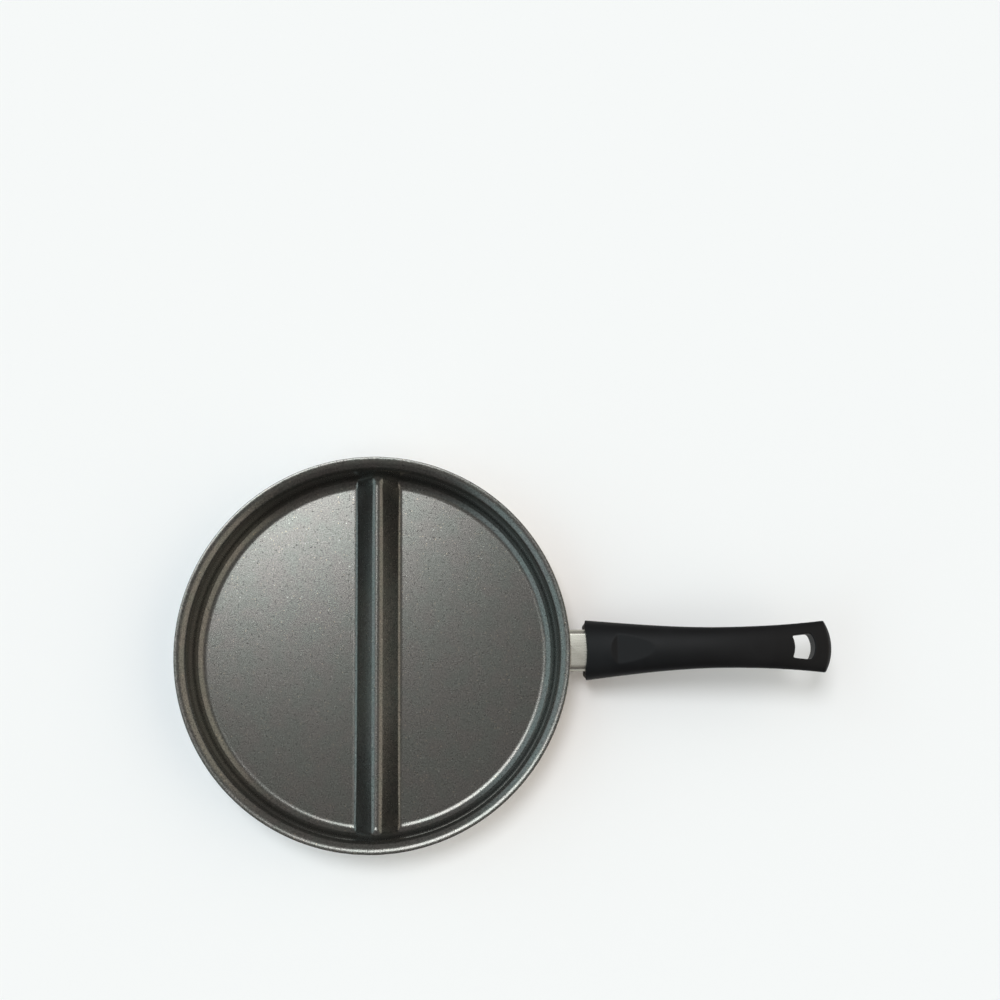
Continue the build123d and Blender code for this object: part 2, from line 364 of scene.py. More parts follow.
# %% The outside keeps its own tighter bend, so the corner is the thickest place
gain = corner_round + sheet - base_round
mesh = bmesh.new()
mesh.from_mesh(pan.data)
marks = mesh.verts.layers.float["bend"]
moved = [v for v in mesh.verts if v[marks] and all(f.material_index == ENAMEL for f in v.link_faces)]
for v in moved:
    turn = v[marks] - 1
    out = 1 + gain * (bend_reach - sin(turn)) * MM / sqrt(v.co.x**2 + v.co.y**2)
    v.co = Vector((v.co.x * out, v.co.y * out, v.co.z - gain * (1 - cos(turn)) * MM))
mesh.verts.layers.float.remove(marks)
mesh.to_mesh(pan.data)
mesh.free()
print(len(moved), "corners of the outside moved")

# %% Blunt the cut edge of the lip
edit(pan, "EDGE")
mesh = bmesh.from_edit_mesh(pan.data)
for e in mesh.edges:
    finishes = {f.material_index for f in e.link_faces}
    e.select_set(len(finishes) == 2 and BARE in finishes)
bmesh.update_edit_mesh(pan.data)
bpy.ops.mesh.bevel(offset=rim_round * MM, segments=2, affect="EDGES")
bpy.ops.object.mode_set(mode="OBJECT")

shaded(pan, 40)
measured(pan)
for side, slot_number in (("coated", COAT), ("enamelled", ENAMEL), ("bare", BARE)):
    print(sum(f.material_index == slot_number for f in pan.data.polygons), side, "faces")

# %% [markdown]
# ## The neck
# Sleeve, boss, screw and handle sit on one level axis. These are its places, in millimetres
# from the pan's axis, and the sections of the sleeve and the handle on it.

# %% The screw axis, the sleeve and the handle, in the same words as the CAD source
neck_height = 20.2
neck_gap, sleeve_in_grip, screw_web = 14.6, 6.5, 5.5
sleeve_width, sleeve_height, sleeve_corner, sleeve_wall = 27.5, 15.2, 4.0, 1.0
neck_start = wall_radius(neck_height)
grip_front = neck_start + neck_gap
grip_length = 162.0
grip_end = grip_front + grip_length
sleeve_end = grip_front + sleeve_in_grip
screw_seat = sleeve_end + screw_web
waist_at, arch_at = 89, 112  # the narrowest and the highest place, from the handle's front
front_width, waist_width, tail_width = 40.4, 26.7, 35.4
front_low, arch_low, tail_low = 9.9, 35.8, 34.4
front_height, arch_height, tail_height = 23.9, 14.4, 12.6
print("handle from", round(grip_front, 2), "to", round(grip_end, 2))

# %% [markdown]
# ## The sleeve
# A short tube of pressed steel with four round corners joins the handle to the wall. It could
# be a tube swept round a curve. A bar with four rounded edges, bored through by a smaller one,
# is quicker, and its corners keep their true arcs, where bright steel shows bands of light.
# A cone as wide as the wall then cuts its end, so that the sleeve meets the wall all round.

# %% Sleeve
def neck_block(name, width, height, corner, start, end):
    """A bar on the screw axis with four rounded long edges."""
    nothing_selected()
    bpy.ops.mesh.primitive_cube_add(size=1, location=((start + end) / 2 * MM, 0, neck_height * MM))
    bar = bpy.context.object
    bar.scale = ((end - start) * MM, width * MM, height * MM)
    bar = started(name)
    edit(bar, "EDGE")
    mesh = bmesh.from_edit_mesh(bar.data)
    for e in mesh.edges:
        e.select_set(abs(e.verts[0].co.x - e.verts[1].co.x) > MM)
    bmesh.update_edit_mesh(bar.data)
    bpy.ops.mesh.bevel(offset=corner * MM, segments=10, affect="EDGES")
    bpy.ops.object.mode_set(mode="OBJECT")
    return bar


def neck_rod(name, diameter, start, end, vertices=48):
    """A round bar on the screw axis."""
    nothing_selected()
    bpy.ops.mesh.primitive_cylinder_add(
        vertices=vertices,
        radius=diameter / 2 * MM,
        depth=(end - start) * MM,
        location=((start + end) / 2 * MM, 0, neck_height * MM),
        rotation=(0, pi / 2, 0),
    )
    return started(name)


into_wall, past_end = 6, 3  # a cutting shape is longer than what it cuts
wall_gap, cone_height = 0.1, 40
sleeve = neck_block(
    "sleeve_shell", sleeve_width, sleeve_height, sleeve_corner, neck_start - into_wall, sleeve_end
)
bore = neck_block(
    "bore",
    sleeve_width - 2 * sleeve_wall,
    sleeve_height - 2 * sleeve_wall,
    sleeve_corner - sleeve_wall,
    neck_start - into_wall - past_end,
    sleeve_end + past_end,
)
cut(sleeve, bore)
nothing_selected()
bpy.ops.mesh.primitive_cone_add(
    vertices=360,
    radius1=(wall_radius(0) + wall_gap) * MM,
    radius2=(wall_radius(cone_height) + wall_gap) * MM,
    depth=cone_height * MM,
    location=(0, 0, cone_height / 2 * MM),
)
cut(sleeve, started("wall_shape"))
shaded(sleeve, 35)
measured(sleeve)

# %% [markdown]
# ## The handle
# The handle is a black moulding. Its top is crowned, its sides draw in below the mould's
# parting line, and it rises in one easy curve from the sleeve and dips again at its end. One
# ring of points is shaped to that section and then extruded along, ring by ring, while each
# new ring is fitted to the curves of the handle seen from above and from the side.

# %% Curves of the handle
def rail(at, start, end):
    """Smooth curve between two stations, each given as (place, value, slope)."""
    (x0, v0, s0), (x1, v1, s1) = start, end
    span = x1 - x0
    u = (at - x0) / span
    return (
        v0 * (2 * u**3 - 3 * u**2 + 1)
        + s0 * span * (u**3 - 2 * u**2 + u)
        + v1 * (3 * u**2 - 2 * u**3)
        + s1 * span * (u**3 - u**2)
    )


def two_rails(at, front, middle, tail):
    """A rail from the front to a middle station, and on to the tail."""
    if at < middle[0]:
        return rail(at, front, middle)
    return rail(at, middle, tail)


def grip_half(at):
    """Half the width, from above."""
    front, tail = (0, front_width / 2, -0.115), (grip_length, tail_width / 2, 0.13)
    return two_rails(at, front, (waist_at, waist_width / 2, 0), tail)


def grip_low(at):
    """Height of the underside."""
    return two_rails(at, (0, front_low, 0.42), (arch_at, arch_low, 0), (grip_length, tail_low, -0.03))


def grip_crown(at):
    """Height of the crown."""
    front, tail = (0, front_low + front_height, 0.29), (grip_length, tail_low + tail_height, -0.12)
    return two_rails(at, front, (arch_at, arch_low + arch_height, 0), tail)


def grip_parting(at):
    """Height of the mould's parting line: halfway up at the front, and higher at the end."""
    share = 0.52 + 0.18 * at / grip_length
    return grip_low(at) + share * (grip_crown(at) - grip_low(at))


# %% One ring, shaped to the handle's section
ring_points = 32
crown_fullness = 0.91  # 1 is an ellipse, and less is fuller
nothing_selected()
bpy.ops.mesh.primitive_circle_add(
    vertices=ring_points,
    radius=MM,
    fill_type="NGON",
    location=(grip_front * MM, 0, 0),
    rotation=(0, pi / 2, 0),
)
grip = started("handle_moulding")
edit(grip)
# shares of the half width and of the depth below the parting line, from the side to the middle
draft = ((0.955, 0.22), (0.91, 0.44), (0.866, 0.66), (0.824, 0.84))
under_shape = draft + ((0.76, 0.955), (0.62, 1.0), (0.33, 1.0))
for step, (across, down) in enumerate(under_shape, start=1):
    turn = 2 * pi * step / ring_points
    pick(grip, "VERT", lambda p: abs(abs(p.y) - cos(turn)) < 0.01 and abs(p.z + sin(turn)) < 0.01)
    stretch(y=across / cos(turn))
    move(z=sin(turn) - down)
for step in range(1, ring_points // 4):
    turn = 2 * pi * step / ring_points
    pick(grip, "VERT", lambda p: abs(abs(p.y) - cos(turn)) < 0.01 and abs(p.z - sin(turn)) < 0.01)
    move(z=sin(turn) ** crown_fullness - sin(turn))

# %% Fit a ring to the handle at a place, and run the rings along it
def fit_ring(at, previous, inset=0.0):
    """Move the selected ring, which fits (x, half width, parting, depth, rise), to a new place."""
    half, low, top = grip_half(at) - inset, grip_low(at) + inset, grip_crown(at) - inset
    parting = grip_parting(at)
    x, old_half, old_parting, old_depth, old_rise = previous
    move(x=at - x, z=parting - old_parting)
    stretch(y=half / old_half)
    mesh = bmesh.from_edit_mesh(grip.data)
    ring = [v for v in mesh.verts if v.select]
    new = (at, half, parting, parting - low, top - parting)
    for above, old, wanted in ((False, old_depth, new[3]), (True, old_rise, new[4])):
        bpy.ops.mesh.select_all(action="DESELECT")
        for v in ring:
            v.select_set((v.co.z / MM > parting) == above)
        bmesh.update_edit_mesh(grip.data)
        stretch(z=wanted / old, about=(0, 0, parting))
    for v in ring:
        v.select_set(True)
    mesh.select_flush(True)
    bmesh.update_edit_mesh(grip.data)
    return new


mouth_inset, mouth_reach, ring_spacing = 2.4, 1.4, 4.0
bpy.ops.mesh.select_mode(type="VERT")
bpy.ops.mesh.select_all(action="SELECT")
ring_now = fit_ring(0, (0, 1, 0, 1, 1), inset=mouth_inset)
ring_count = int(grip_length // ring_spacing) + 1
ring_places = [mouth_reach] + [ring_spacing * (n + 1) for n in range(ring_count)]
for place in ring_places:
    bpy.ops.mesh.extrude_region_move()
    ring_now = fit_ring(place, ring_now)
bpy.ops.object.mode_set(mode="OBJECT")
faces_outward(grip)
measured(grip)

# %% Keep the parting line crisp while the rest is rounded
parting_crease, mouth_crease = 0.75, 0.6
edit(grip, "EDGE")
mesh = bmesh.from_edit_mesh(grip.data)
for e in mesh.edges:
    ends = [v.co / MM for v in e.verts]
    on_parting = all(abs(p.z - grip_parting(p.x - grip_front)) < 0.05 for p in ends)
    e.select_set(on_parting and ends[0].y * ends[1].y > 0)
bmesh.update_edit_mesh(grip.data)
bpy.ops.transform.edge_crease(value=parting_crease)
pick(grip, "EDGE", lambda p: p.x < grip_front + mouth_reach + 0.1)
bpy.ops.transform.edge_crease(value=mouth_crease)
bpy.ops.object.mode_set(mode="OBJECT")
add_modifier(grip, "SUBSURF", levels=2, render_levels=2)
measured(grip)

# %% [markdown]
# ### The handle's end, mouth, recess and hole
# The moulder's tool would have these in its two halves and its cores. Sculpting them into the
# rings would need many more points, so they are cut by simple shapes instead: a slab with a
# round end leaves the handle's end, two drums dish its mouth, a bar with a core leaves the
# slot for the sleeve and the spigot inside it, and a block and a four-sided post make the
# thumb's recess and the hanging hole.

# %% The rounded end
tail_arc, tail_crown_round, tail_low_round, tail_lift, slab_reach = 33.6, 8.5, 3.3, 0.7, 150
slab_top, slab_low = grip_crown(150) + tail_lift, tail_low - tail_lift
slab_middle = (slab_top + slab_low) / 2
nothing_selected()
bpy.ops.mesh.primitive_cylinder_add(
    vertices=256,
    radius=tail_arc * MM,
    depth=(slab_top - slab_low) * MM,
    location=((grip_end - tail_arc) * MM, 0, slab_middle * MM),
)
slab = started("end_shape")
edit(slab, "EDGE")
pick(slab, "EDGE", lambda p: p.z > slab_top - 0.01)
bpy.ops.mesh.bevel(offset=tail_crown_round * MM, segments=12, affect="EDGES", clamp_overlap=False)
pick(slab, "EDGE", lambda p: p.z < slab_low + 0.01)
bpy.ops.mesh.bevel(offset=tail_low_round * MM, segments=6, affect="EDGES", clamp_overlap=False)
pick(slab, "VERT", lambda p: p.x < grip_end - tail_arc - 0.01)
move(x=-slab_reach)
stretch(z=6, about=(0, 0, slab_middle))
bpy.ops.object.mode_set(mode="OBJECT")
cut(grip, slab, "INTERSECT")
measured(grip)

# %% The dished mouth, the slot for the sleeve and the bore for the screw
def drum(name, radius, depth, centre, rotation=(0, 0, 0)):
    """A large round bar that cuts a shallow dish."""
    nothing_selected()
    bpy.ops.mesh.primitive_cylinder_add(
        vertices=192,
        radius=radius * MM,
        depth=depth * MM,
        location=[c * MM for c in centre],
        rotation=rotation,
    )
    return started(name)


def dish_radius(half, depth):
    """Radius of an arc over a half width, with its depth at the middle."""
    return (half**2 + depth**2) / (2 * depth)


side_depth, over_depth = 2.2, 2.6  # of the dished mouth, seen from the side and from above
mouth_height = front_low + front_height / 2
side, over = dish_radius(front_height / 2, side_depth), dish_radius(front_width / 2, over_depth)
side_place = (grip_front + side_depth - side, 0, mouth_height)
over_place = (grip_front + over_depth - over, 0, mouth_height)
cut(grip, drum("side_dish", side, 90, side_place, (pi / 2, 0, 0)))
cut(grip, drum("over_dish", over, 60, over_place))
slot_play = 0.3  # of the sleeve in its slot, over the whole width
slot_size = (sleeve_width + slot_play, sleeve_height + slot_play, sleeve_corner + slot_play / 2)
inward = 2 * sleeve_wall + slot_play
core_size = (sleeve_width - inward, sleeve_height - inward, sleeve_corner - inward / 2)
slot = neck_block("slot", *slot_size, grip_front - 5, sleeve_end)
core = neck_block("core", *core_size, grip_front - 9, sleeve_end + 5)
cut(slot, core)
cut(grip, slot)
counterbore, screw_way = 9.8, 5.6
cut(grip, neck_rod("counterbore", counterbore, screw_seat, grip_front + waist_at, vertices=64))
cut(grip, neck_rod("screw_way", screw_way, neck_start, screw_seat + 5, vertices=40))
measured(grip)

# %% The thumb recess
recess_start, recess_floor, recess_end, recess_depth = 17.5, 22.3, 46.5, 1.6
block_low, block_high, block_width = 40, 60, 60
recess_middle, block_middle = (recess_start + recess_end) / 2, (block_low + block_high) / 2
nothing_selected()
bpy.ops.mesh.primitive_cube_add(
    size=1, location=((grip_front + recess_middle) * MM, 0, block_middle * MM)
)
block_size = (recess_end - recess_start, block_width, block_high - block_low)
bpy.context.object.scale = [length * MM for length in block_size]
thumb = started("thumb_shape")
edit(thumb)
bpy.ops.mesh.select_all(action="SELECT")
bpy.ops.mesh.bisect(plane_co=((grip_front + recess_floor) * MM, 0, 0), plane_no=(1, 0, 0))
for at, drop in ((recess_start, 0), (recess_floor, recess_depth), (recess_end, 0)):
    pick(thumb, "VERT", lambda p: abs(p.x - grip_front - at) < 0.01 and p.z < block_middle - 5)
    move(z=grip_crown(at) - drop - block_low)
bpy.ops.object.mode_set(mode="OBJECT")
cut(grip, thumb)

# %% The hanging hole
hole_inner_x, hole_length, columns = grip_end - 27.1, 12.2, 12
hole_inner_width, hole_outer_width, hole_corner = 14.4, 16.9, 1.5
hole_low, hole_reach = 20, 50
hole_ends = (
    (hole_inner_x, hole_inner_width / 2, 1.6),
    (hole_inner_x + hole_length, hole_outer_width / 2, 2.7),
)
nothing_selected()
bpy.ops.mesh.primitive_grid_add(
    x_subdivisions=1,
    y_subdivisions=columns,
    size=1,
    location=((hole_inner_x + hole_length / 2) * MM, 0, hole_low * MM),
)
bpy.context.object.scale = (hole_length * MM, hole_inner_width * MM, 1)
hole = started("hole_shape")
edit(hole)
pick(hole, "VERT", lambda p: p.x > hole_inner_x + 1)
stretch(y=hole_outer_width / hole_inner_width)
for column in range(1, columns):
    share = 2 * column / columns - 1
    for end_x, half_end, bulge in hole_ends:
        pick(hole, "VERT", lambda p: abs(p.x - end_x) < 0.01 and abs(p.y - share * half_end) < 0.01)
        move(x=bulge * (1 - share**2))
pick(hole, "FACE", lambda p, normal: True)
bpy.ops.mesh.extrude_region_move(TRANSFORM_OT_translate={"value": (0, 0, hole_reach * MM)})
bpy.ops.mesh.select_mode(type="EDGE")
bpy.ops.mesh.select_all(action="DESELECT")
mesh = bmesh.from_edit_mesh(hole.data)
for e in mesh.edges:
    upright = abs(e.verts[0].co.z - e.verts[1].co.z) > MM
    e.select_set(upright and len(e.link_faces) == 2 and e.calc_face_angle(0) > radians(50))
bmesh.update_edit_mesh(hole.data)
bpy.ops.mesh.bevel(offset=hole_corner * MM, segments=5, affect="EDGES")
bpy.ops.object.mode_set(mode="OBJECT")
faces_outward(hole)
cut(grip, hole)
measured(grip)

# %% [markdown]
# ### Soft edges all over
# A mould leaves no sharp edge, and the seams of so many cuts are too uneven to bevel one by
# one. A fine voxel remesh builds the whole surface anew in even squares, and a little
# smoothing then rounds every edge by the same small amount.

# %% Soften every edge as a mould does
add_modifier(grip, "REMESH", mode="VOXEL", voxel_size=0.5 * MM)
add_modifier(grip, "SMOOTH", factor=0.5, iterations=3)
shaded(grip, 180)
measured(grip)

# %% [markdown]
# ## Finishes
# Every finish is built from nodes and reads Object coordinates, so it is fixed to the piece
# and has its true size in millimetres. Flecks, grain and wear change colour, roughness and
# relief together, as they do on real surfaces. A picture would be quicker to lay on, but it
# would show its seams and its pixels. These helpers each add the few nodes of one idea.

# %% Node helpers
def new_material(name):
    """A new node material, its node tree and its Principled shader."""
    made = bpy.data.materials.new(name)
    made.use_nodes = True
    nodes = made.node_tree.nodes
    shader = nodes["Principled BSDF"]
    return made, made.node_tree, shader


def feed(tree, socket, value):
    """Give a socket a plain value, or link another node's output to it."""
    if isinstance(value, bpy.types.NodeSocket):
        tree.links.new(value, socket)
    else:
        socket.default_value = value


def node(tree, kind, inputs=None, **settings):
    """Add a node, set its own properties and then its sockets."""
    made = tree.nodes.new("ShaderNode" + kind)
    for key, value in settings.items():
        setattr(made, key, value)
    for key, value in (inputs or {}).items():
        feed(tree, made.inputs[key], value)
    return made


def light_value(c):
    """One channel of a paint program's colour, 0 to 255, as the light value of a shader."""
    return ((c / 255 + 0.055) / 1.055) ** 2.4 if c > 10 else c / 255 / 12.92


def srgb(r, g, b):
    """A colour as a paint program gives it, as a shader takes it."""
    return (light_value(r), light_value(g), light_value(b), 1.0)


def stepped(tree, value, start, end):
    """0 up to a value's start, 1 from its end, and a smooth step between."""
    inputs = {"Value": value, "From Min": start, "From Max": end}
    return node(tree, "MapRange", inputs, interpolation_type="SMOOTHSTEP").outputs["Result"]


def maths(tree, first, second, kind="ADD"):
    """Two values or outputs in a Math node: their sum, unless another kind is named."""
    made = node(tree, "Math", operation=kind)
    for socket, value in zip(made.inputs, (first, second)):
        feed(tree, socket, value)
    return made.outputs["Value"]


def scaled(tree, value, factor):
    """A pattern's output, made weaker or stronger by a factor."""
    return maths(tree, value, factor, "MULTIPLY")


def mixed(tree, share, under, over):
    """One colour over another, by a share that may come from a pattern."""
    made = node(tree, "Mix", data_type="RGBA")
    for slot_number, value in ((0, share), (6, under), (7, over)):
        feed(tree, made.inputs[slot_number], value)
    return made.outputs[2]


def noise(tree, place, size, detail=2.0, roughness=0.5):
    """Noise with features about a size across, in millimetres."""
    inputs = {"Vector": place, "Scale": 1 / (size * MM), "Detail": detail, "Roughness": roughness}
    return node(tree, "TexNoise", inputs).outputs["Fac"]


def ragged(tree, place, size, amount):
    """The place on a piece, shifted by noise, which makes round spots irregular. In millimetres."""
    wobble = node(tree, "TexNoise", {"Vector": place, "Scale": 1 / (size * MM), "Detail": 2.0})
    middle = (0.5, 0.5, 0.5)
    centred = node(tree, "VectorMath", {0: wobble.outputs["Color"], 1: middle}, operation="SUBTRACT")
    push = {0: centred.outputs[0], "Scale": 2 * amount * MM}
    pushed = node(tree, "VectorMath", push, operation="SCALE")
    return node(tree, "VectorMath", {0: place, 1: pushed.outputs[0]}).outputs[0]


def specks(tree, place, spacing, share, radius):
    """1 inside scattered specks of unequal size, 0 outside. Spacing and radius are in millimetres."""
    cells = node(tree, "TexVoronoi", {"Vector": place, "Scale": 1 / (spacing * MM)})
    chance = node(tree, "SeparateColor", {"Color": cells.outputs["Color"]})
    sizes = node(tree, "MapRange", {"Value": chance.outputs["Green"], "To Min": 0.4, "To Max": 1.0})
    edge = scaled(tree, sizes.outputs["Result"], radius / spacing)
    inside = stepped(tree, maths(tree, cells.outputs["Distance"], edge, "DIVIDE"), 1.15, 0.75)
    chosen = maths(tree, chance.outputs["Red"], share, "LESS_THAN")
    return maths(tree, inside, chosen, "MULTIPLY")


def bump(tree, shader, height, depth):
    """Turn a 0 to 1 height into relief that is a depth in millimetres from low to high."""
    relief = node(tree, "Bump", {"Height": height, "Strength": 1.0, "Distance": depth * MM})
    tree.links.new(relief.outputs["Normal"], shader.inputs["Normal"])


# %% [markdown]
# ### The non-stick coat
# The inside is a sprayed coat, dark grey with fine grain and small dark, tan and pale flakes.
# It is smooth enough to draw out a soft lamp into a sheen. One grey with some gloss would look
# like plastic. The flakes are cells of a Voronoi pattern, only some of which are filled. The
# coat is nearly all metallic, because that lets the flakes tint the sheen and not only the
# grey under it, and the dark flakes are duller as well.

# %% Non-stick coat
coat, tree, shader = new_material("flecked_coat")
place = node(tree, "TexCoord").outputs["Object"]
grain = stepped(tree, noise(tree, place, 0.75, 1.0, 0.6), 0.25, 0.7)
patches = stepped(tree, noise(tree, place, 16.0, 2.0), 0.35, 0.65)
dark_flakes = specks(tree, ragged(tree, place, 0.9, 0.25), 1.55, 0.45, 0.5)
tan_flakes = specks(tree, ragged(tree, place, 1.3, 0.3), 2.0, 0.35, 0.5)
pale_flakes = specks(tree, ragged(tree, place, 0.8, 0.25), 2.3, 0.34, 0.42)
tint = mixed(tree, patches, srgb(107, 109, 104), srgb(110, 108, 104))
tint = mixed(tree, grain, mixed(tree, 0.75, tint, srgb(60, 60, 57)), tint)
tint = mixed(tree, scaled(tree, tan_flakes, 0.8), tint, srgb(134, 127, 114))
tint = mixed(tree, scaled(tree, pale_flakes, 0.8), tint, srgb(142, 144, 138))
tint = mixed(tree, scaled(tree, dark_flakes, 0.75), tint, srgb(52, 52, 50))
tree.links.new(tint, shader.inputs["Base Color"])
dull = maths(tree, scaled(tree, dark_flakes, 0.12), scaled(tree, grain, 0.04))
tree.links.new(maths(tree, dull, 0.19), shader.inputs["Roughness"])
shader.inputs["Metallic"].default_value = 0.87  # the rest is grey paint under a clear gloss
shader.inputs["IOR"].default_value = 1.5
bump(tree, shader, maths(tree, grain, dark_flakes, "SUBTRACT"), 0.006)

# %% [markdown]
# ### The enamel
# The outside is a pale, glossy enamel, baked on with irregular dark specks of two sizes and
# faint ones between. A Voronoi pattern alone gives round dots like a printed pattern, so its
# places are pushed about by noise first.

# %% Enamel
enamel, tree, shader = new_material("speckled_enamel")
place = node(tree, "TexCoord").outputs["Object"]
torn = ragged(tree, place, 1.1, 0.9)
large_specks = specks(tree, torn, 2.6, 0.62, 0.66)
small_specks = specks(tree, ragged(tree, place, 0.9, 0.5), 1.9, 0.55, 0.4)
faint_specks = specks(tree, ragged(tree, place, 1.4, 0.6), 3.9, 0.5, 0.8)
clouds = noise(tree, place, 22.0)
ground = mixed(tree, stepped(tree, clouds, 0.35, 0.65), srgb(203, 200, 195), srgb(209, 206, 202))
ground = mixed(tree, scaled(tree, faint_specks, 0.35), ground, srgb(120, 118, 114))
ground = mixed(tree, small_specks, ground, srgb(82, 80, 77))
ground = mixed(tree, large_specks, ground, srgb(54, 53, 51))
tree.links.new(ground, shader.inputs["Base Color"])
peel = noise(tree, place, 1.8, 1.0)
tree.links.new(maths(tree, scaled(tree, peel, 0.1), 0.2), shader.inputs["Roughness"])
bump(tree, shader, maths(tree, peel, scaled(tree, large_specks, 0.4)), 0.02)

# %% [markdown]
# ### The metals
# There are four metals: the cut edge of the sheet, the satin sleeve, the turned boss, and the
# zinc-plated screw and washers. A metal is all reflection, so its detail is in the roughness,
# in faint changes of tint and in fine lines, as the tool or the rolling mill left them.

# %% Metals
def drawn_lines(tree, place, along, across):
    """Noise stretched along X: fine lines as long and as wide as given, in millimetres."""
    lengths = (1 / (along * MM), 1 / (across * MM), 1 / (across * MM))
    laid = node(tree, "Mapping", {"Vector": place, "Scale": lengths})
    inputs = {"Vector": laid.outputs["Vector"], "Scale": 1.0, "Detail": 3.0}
    return node(tree, "TexNoise", inputs).outputs["Fac"]


bare, tree, shader = new_material("bare_aluminium")
place = node(tree, "TexCoord").outputs["Object"]
wear = noise(tree, place, 1.2, 3.0)
tree.links.new(mixed(tree, wear, srgb(206, 204, 198), srgb(238, 236, 230)), shader.inputs["Base Color"])
tree.links.new(maths(tree, scaled(tree, wear, 0.2), 0.2), shader.inputs["Roughness"])
shader.inputs["Metallic"].default_value = 1.0
bump(tree, shader, noise(tree, place, 0.35), 0.01)

steel, tree, shader = new_material("satin_steel")
place = node(tree, "TexCoord").outputs["Object"]
lines = drawn_lines(tree, place, 14.0, 0.25)
tree.links.new(mixed(tree, lines, srgb(168, 167, 157), srgb(184, 183, 173)), shader.inputs["Base Color"])
tree.links.new(maths(tree, scaled(tree, lines, 0.16), 0.2), shader.inputs["Roughness"])
shader.inputs["Metallic"].default_value = 1.0
bump(tree, shader, lines, 0.004)

turned, tree, shader = new_material("turned_aluminium")
place = node(tree, "TexCoord").outputs["Object"]
centred = node(tree, "Mapping", {"Vector": place, "Location": (0, 0, -neck_height * MM)})
rings = node(
    tree,
    "TexWave",
    {"Vector": centred.outputs["Vector"], "Scale": 900.0, "Distortion": 1.5, "Detail": 2.0},
    wave_type="RINGS",
    rings_direction="X",
).outputs["Fac"]
tree.links.new(mixed(tree, rings, srgb(190, 190, 188), srgb(222, 222, 219)), shader.inputs["Base Color"])
tree.links.new(maths(tree, scaled(tree, rings, 0.12), 0.24), shader.inputs["Roughness"])
shader.inputs["Metallic"].default_value = 1.0
bump(tree, shader, rings, 0.01)

zinc, tree, shader = new_material("zinc_plated_steel")
place = node(tree, "TexCoord").outputs["Object"]
bloom = noise(tree, place, 1.6, 4.0, 0.6)
tree.links.new(mixed(tree, bloom, srgb(176, 180, 184), srgb(214, 212, 200)), shader.inputs["Base Color"])
tree.links.new(maths(tree, scaled(tree, bloom, 0.25), 0.24), shader.inputs["Roughness"])
shader.inputs["Metallic"].default_value = 1.0
bump(tree, shader, noise(tree, place, 0.3), 0.008)

# %% [markdown]
# ### The bakelite
# The handle is black phenolic moulding, half matt from the mould's fine grain, with a grey
# bloom that years of washing leave in faint patches. The grain is relief and not colour.

# %% Bakelite
bakelite, tree, shader = new_material("black_bakelite")
place = node(tree, "TexCoord").outputs["Object"]
mould_grain = noise(tree, place, 0.45, 2.0)
washed = stepped(tree, noise(tree, place, 18.0, 3.0), 0.4, 0.75)
tree.links.new(mixed(tree, washed, srgb(9, 9, 10), srgb(14, 14, 15)), shader.inputs["Base Color"])
dull = maths(tree, scaled(tree, washed, 0.05), scaled(tree, mould_grain, 0.1))
tree.links.new(maths(tree, dull, 0.44), shader.inputs["Roughness"])
shader.inputs["Specular IOR Level"].default_value = 0.17
bump(tree, shader, mould_grain, 0.012)

# %% [markdown]
# ### Putting the finishes on
# The pan has a slot for its coat, its enamel and its bare edge. The boss, the washers and the
# screw are still the meshes of the CAD pieces, and only get a finish.

# %% Put the finishes on
for slot_number, finish in ((COAT, coat), (ENAMEL, enamel), (BARE, bare)):
    pan.data.materials[slot_number] = finish
sleeve.data.materials.append(steel)
grip.data.materials.append(bakelite)
for node_name, finish in (
    ("weld_stud", turned),
    ("flat_washer", zinc),
    ("lock_washer", zinc),
    ("handle_screw", zinc),
):
    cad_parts[node_name].material_slots[0].material = finish
    print(node_name, "is finished in", finish.name)

# %% [markdown]
# ## Joining the frame
# Nothing on this pan moves, so its three modelled pieces all ride on the root body. Each one takes the
# place of the CAD piece of the same shape, which is hidden.

# %% Every new piece rides on the one rigid body, and its CAD node is hidden
for piece, cad_node, finish_slot in (
    (pan, "pan_body", "coated_aluminium"),
    (sleeve, "neck_sleeve", "sleeve_steel"),
    (grip, "handle_grip", "bakelite"),
):
    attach(piece, "root")
    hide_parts(cad_node)

# %% [markdown]
# ## The floor
# The photograph has a plain near-white ground. Here it is one large sheet of matt paper, just
# under the pan. It is plain on purpose, and all that it shows is the pan's shadow.

# %% Floor
floor_size, floor_drop = 12, 0.0002  # in metres, the drop so that it never touches the base
nothing_selected()
bpy.ops.mesh.primitive_plane_add(size=floor_size, location=(0, 0, -floor_drop))
floor = started("floor")
paper, tree, shader = new_material("pale_paper")
shader.inputs["Base Color"].default_value = (0.88, 0.88, 0.88, 1)
shader.inputs["Roughness"].default_value = 1.0
shader.inputs["Specular IOR Level"].default_value = 0.0
floor.data.materials.append(paper)

# %% [markdown]
# ## Light
# A photo studio's light is a few soft shapes with dark between them, and a dark glossy coat
# shows each of them as a band. Here one round lamp stands high behind the left of the pan, and
# its sheen lies over the far left of the base. The rest is the room: large soft boxes at
# both sides, the left one a little cool and the right one a little warm, and darker walls and
# a darker ceiling between them. They could be area lamps, but those are brighter on the floor
# near them. Painted on the world by direction, they light the floor evenly, and away from the
# pan their tints nearly even out to white. The camera itself sees a pale backdrop.

# %% Room
world = bpy.data.worlds.new("studio_room")
world.use_nodes = True
tree = world.node_tree
way = node(tree, "SeparateXYZ", {0: node(tree, "TexCoord").outputs["Generated"]})
east, north, height = way.outputs["X"], way.outputs["Y"], way.outputs["Z"]
far_wall, near_wall, ceiling = (0.42, 0.4, 0.4, 1), (0.22, 0.2, 0.2, 1), (0.43, 0.41, 0.4, 1)
cool_box, warm_box, backdrop = (1.15, 1.42, 1.52, 1), (1.42, 1.3, 1.13, 1), (0.93, 0.93, 0.93, 1)
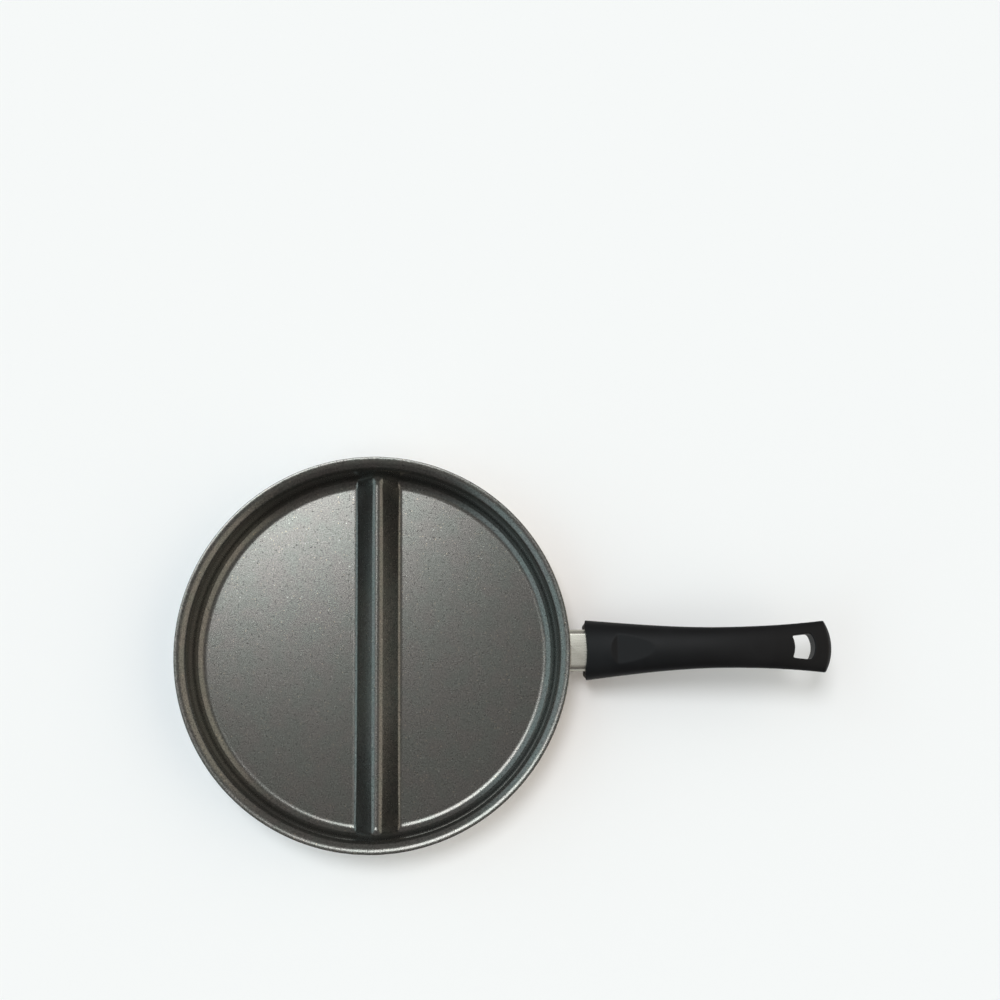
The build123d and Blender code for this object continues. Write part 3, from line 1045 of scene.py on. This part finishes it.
# east and north are divided by the level part of the direction, so they are those of a compass
height_squared = maths(tree, height, height, "MULTIPLY")
level_squared = maths(tree, 1.0, height_squared, "SUBTRACT")
level = node(tree, "Math", {0: level_squared}, operation="SQRT")
level = maths(tree, level.outputs[0], 0.05, "MAXIMUM")
east, north = maths(tree, east, level, "DIVIDE"), maths(tree, north, level, "DIVIDE")
above_floor, below_ceiling = stepped(tree, height, 0.10, 0.2), stepped(tree, height, 0.94, 0.78)
box_height = maths(tree, above_floor, below_ceiling, "MULTIPLY")
left_box = maths(tree, box_height, stepped(tree, east, -0.5, -0.8), "MULTIPLY")
right_box = maths(tree, box_height, stepped(tree, east, 0.5, 0.8), "MULTIPLY")
walls = mixed(tree, stepped(tree, north, 0.2, -0.6), far_wall, near_wall)
light = mixed(tree, stepped(tree, height, 0.95, 0.7), ceiling, walls)
light = mixed(tree, left_box, light, cool_box)
light = mixed(tree, right_box, light, warm_box)
seen = mixed(tree, node(tree, "LightPath").outputs["Is Camera Ray"], light, backdrop)
back = tree.nodes["Background"]
tree.links.new(seen, back.inputs["Color"])
back.inputs["Strength"].default_value = 1.0
bpy.context.scene.world = world

# %% Lamp
key_data = bpy.data.lights.new("key", "SUN")
key_data.energy = 1.1
key_data.angle = radians(23)
key_data.color = (0.97, 1.0, 1.03)
key = bpy.data.objects.new("key", key_data)
key_way = Vector((0.188, -0.327, -1))
key.rotation_mode = "QUATERNION"
key.rotation_quaternion = key_way.to_track_quat("-Z", "Y")
bpy.context.scene.collection.objects.link(key)

# %% [markdown]
# ## Camera
# The photograph's lower view is taken from almost straight above, about a metre up. The camera
# leans about nine degrees, which puts the pan low in the picture, and stands a little to the
# right and in front of the pan's axis. It could be aimed at a target, but its place and lean
# were found by fitting points of the pan's outline, so they are given as they are.

# %% Camera
tilt, turn, roll = radians(9.247), radians(-100.148), radians(-0.602)
forward = Vector((-sin(tilt) * cos(turn), -sin(tilt) * sin(turn), -cos(tilt)))
right = forward.cross(Vector((0, 1, 0))).normalized()
upward = right.cross(forward)
right, upward = right * cos(roll) + upward * sin(roll), upward * cos(roll) - right * sin(roll)
camera_data = bpy.data.cameras.new("camera")
camera_data.sensor_width = 36
camera_data.lens = 50.67
camera = bpy.data.objects.new("camera", camera_data)
camera_place = Vector((57.8, -48.7, 960)) * MM
facing = Matrix((right, upward, -forward)).transposed().to_4x4()
camera.matrix_world = Matrix.Translation(camera_place) @ facing
bpy.context.scene.collection.objects.link(camera)
bpy.context.scene.camera = camera
bpy.context.scene.view_settings.view_transform = "Standard"

# %% [markdown]
# ## The end
# At the end, nothing is left selected.

# %% The end
nothing_selected()
